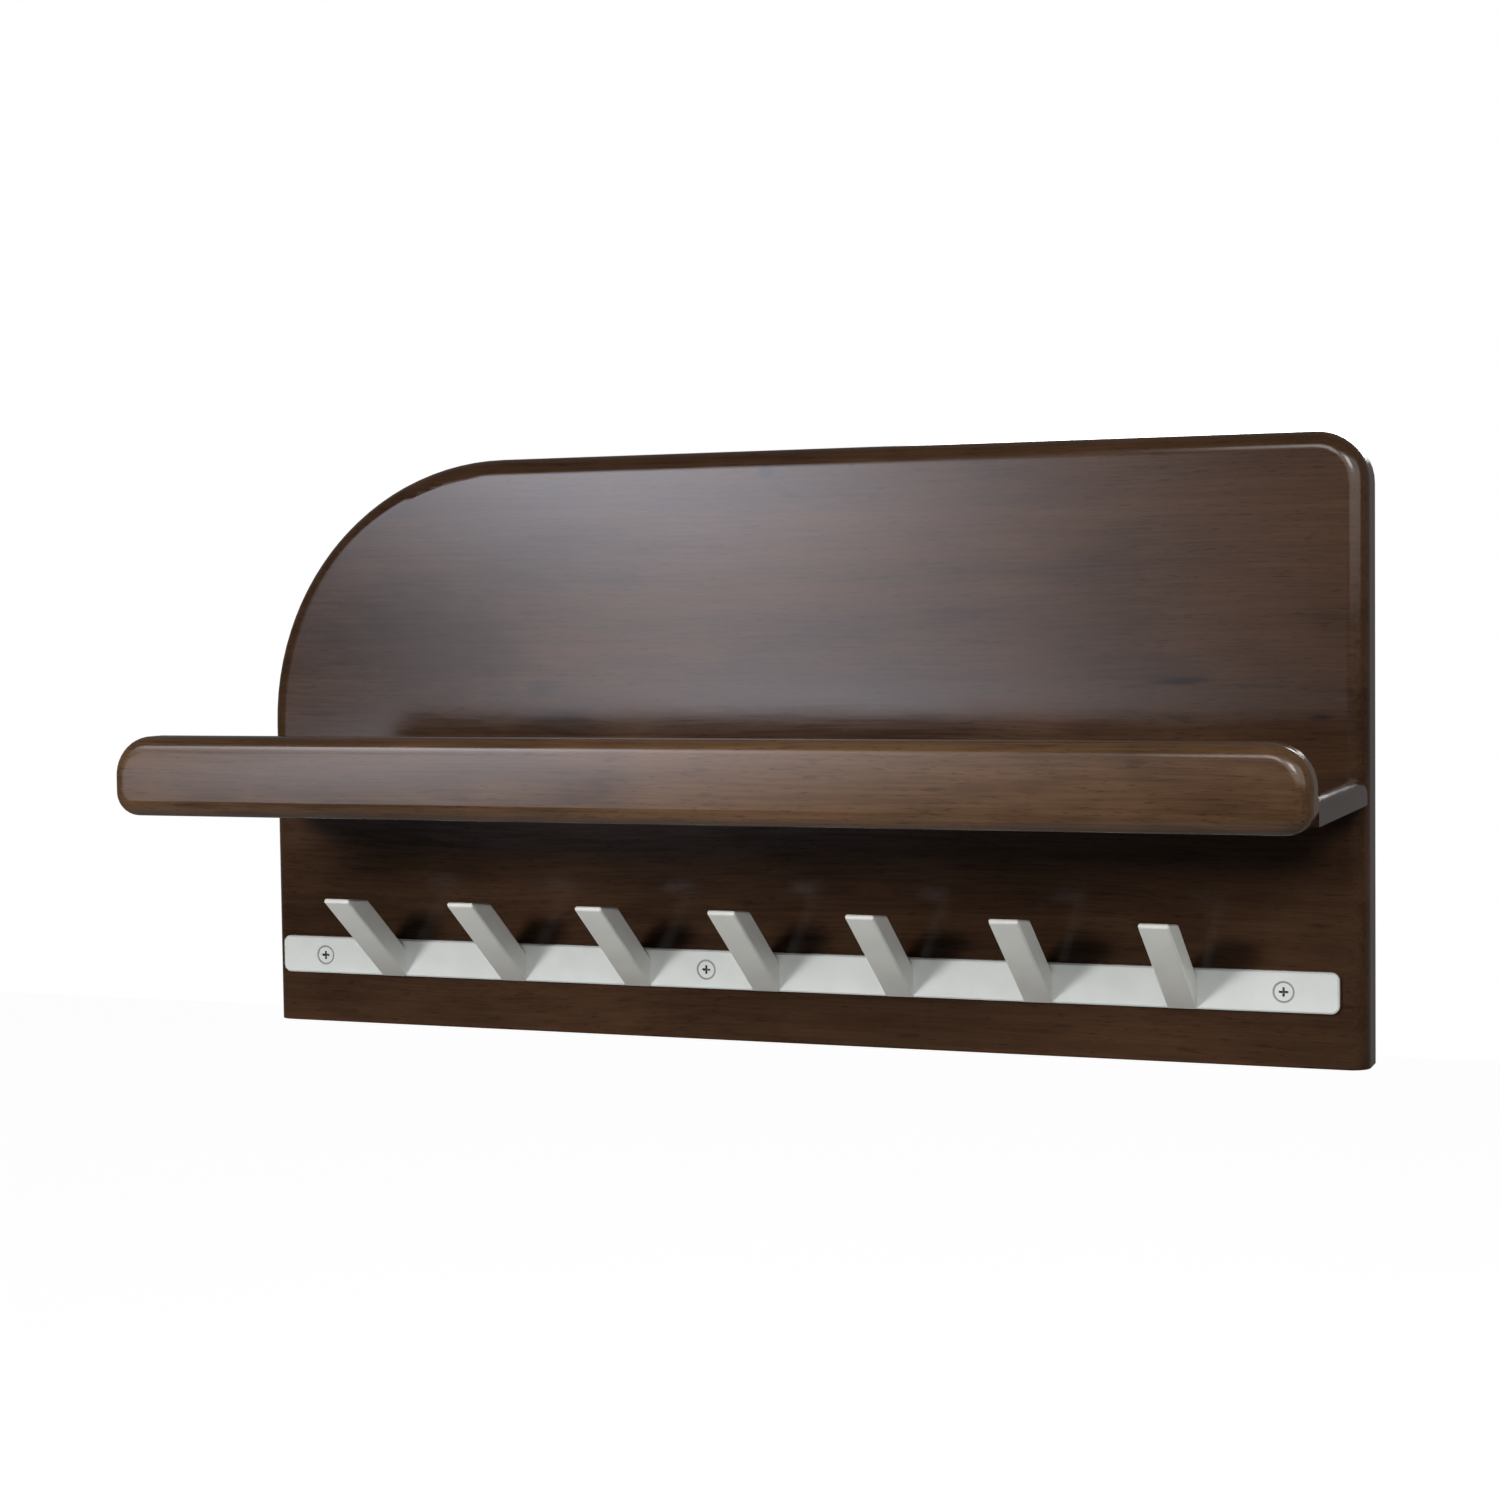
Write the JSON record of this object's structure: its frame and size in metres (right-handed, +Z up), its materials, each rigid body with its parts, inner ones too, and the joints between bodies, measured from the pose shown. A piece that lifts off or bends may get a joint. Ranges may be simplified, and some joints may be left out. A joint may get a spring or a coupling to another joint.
{
  "type": "wall shelf with hook rail",
  "caption": "Wall-hung solid-wood shelf board with a front lip above a painted steel rail of slanted coat hooks.",
  "frame": {"origin": "on the wall plane, midway between the two points where the keyholes hang on their wall screws, 250 mm above the board's bottom edge", "axes": "+X to the right along the board as seen from the room, +Y into the wall, +Z up"},
  "size_m": [0.6, 0.179, 0.306],
  "materials": {
    "board_wood": "dark walnut stain, satin varnish",
    "shelf_wood": "dark walnut stain, satin varnish",
    "lip_wood": "dark walnut stain, satin varnish",
    "rail_paint": "light grey-white satin powder coat",
    "hook_paint": "light grey-white satin powder coat",
    "screw_paint": "light grey-white satin paint, cross recess",
    "screw_steel": "yellow zinc plated",
    "biscuit_wood": "plain beech, pressed"
  },
  "bodies": {
    "root": {"back_board": "board_wood", "shelf_board": "shelf_wood", "front_lip": "lip_wood", "hook_rail": "rail_paint", "hook_1": "hook_paint", "hook_2": "hook_paint", "hook_3": "hook_paint", "hook_4": "hook_paint", "hook_5": "hook_paint", "hook_6": "hook_paint", "hook_7": "hook_paint", "rail_screw_left": "screw_paint", "rail_screw_middle": "screw_paint", "rail_screw_right": "screw_paint", "shelf_screw_1": "screw_steel", "shelf_screw_2": "screw_steel", "shelf_screw_3": "screw_steel", "lip_biscuit_1": "biscuit_wood", "lip_biscuit_2": "biscuit_wood", "lip_biscuit_3": "biscuit_wood"}
  },
  "joints": []
}
